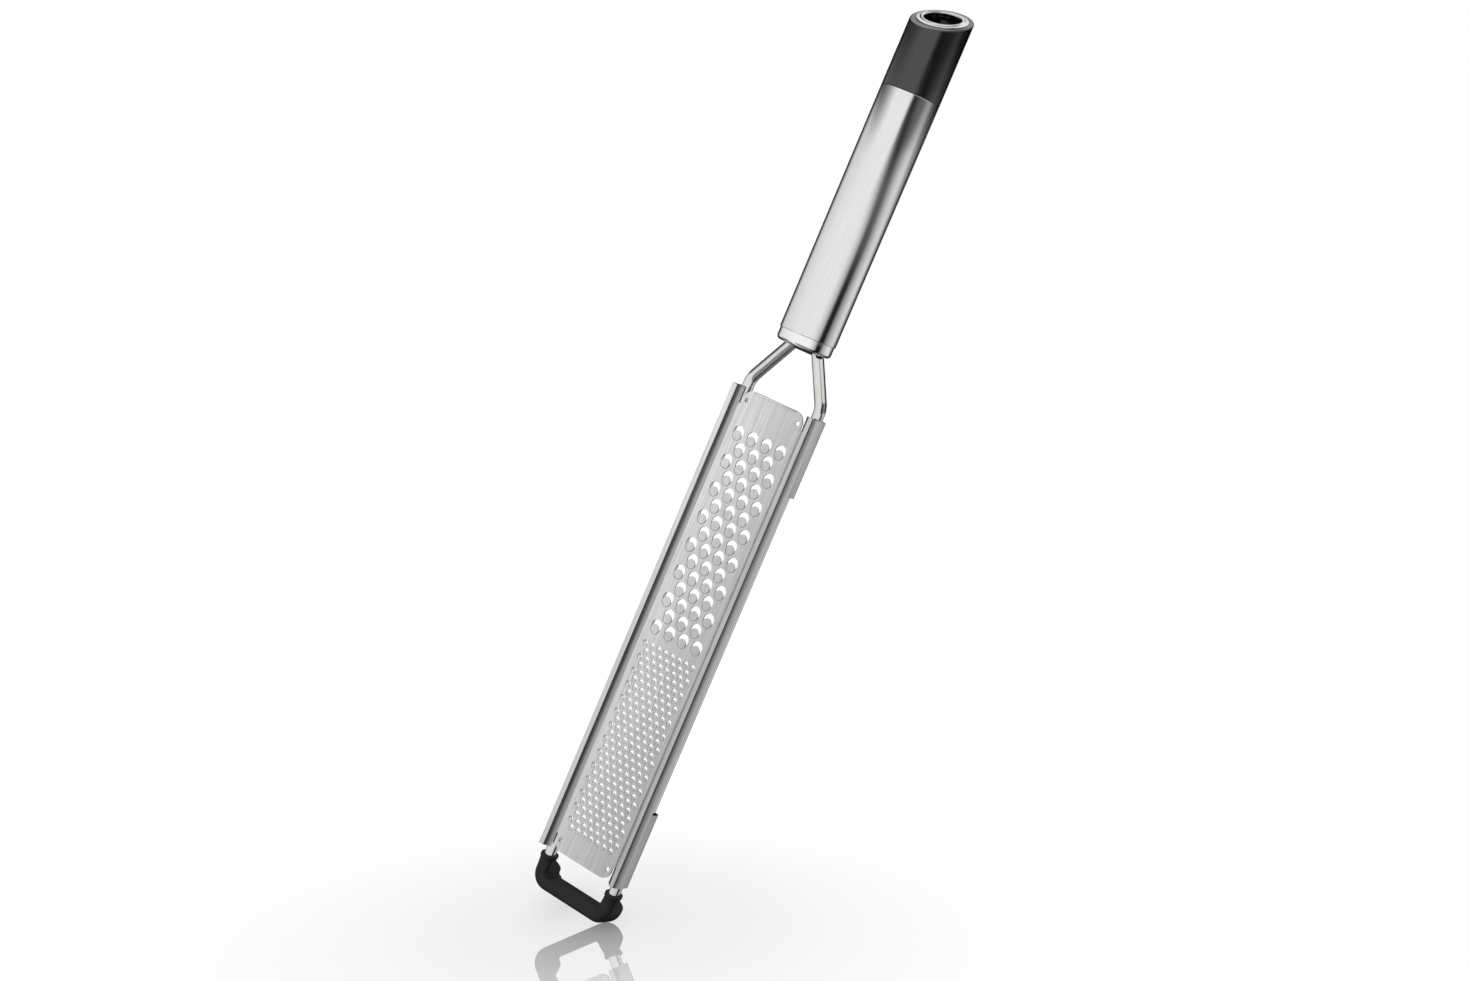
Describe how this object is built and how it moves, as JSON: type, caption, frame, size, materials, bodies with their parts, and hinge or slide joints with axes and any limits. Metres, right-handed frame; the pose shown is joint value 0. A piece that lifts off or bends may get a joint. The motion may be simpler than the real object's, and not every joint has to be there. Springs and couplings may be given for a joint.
{
  "type": "hand grater",
  "caption": "Long flat hand grater: a perforated blade with coarse and fine teeth clipped on a bent rod, with a round steel handle, a slanted cap with a hanging eyelet, and a rubber foot.",
  "frame": {"origin": "middle of the length and the width, at the height of the handle's lowest point", "axes": "+X runs along the grater from the hanging end to the foot, +Y across it, +Z out of the cutting face"},
  "size_m": [0.3904, 0.0422, 0.0244],
  "materials": {
    "tube_steel": "satin, finely brushed",
    "cap_plastic": "satin black moulded plastic",
    "polished_steel": "polished stainless steel",
    "core_plastic": "matte dark plastic",
    "rod_steel": "polished to a satin shine",
    "blade_steel": "satin, grain along the blade",
    "foot_rubber": "matte black rubber"
  },
  "bodies": {
    "root": {"handle_tube": "tube_steel", "end_cap": "cap_plastic", "eyelet_ring": "polished_steel", "ferrule": "polished_steel", "wire_anchor": "core_plastic", "frame_wire": "rod_steel", "blade": "blade_steel", "foot": "foot_rubber"}
  },
  "joints": []
}
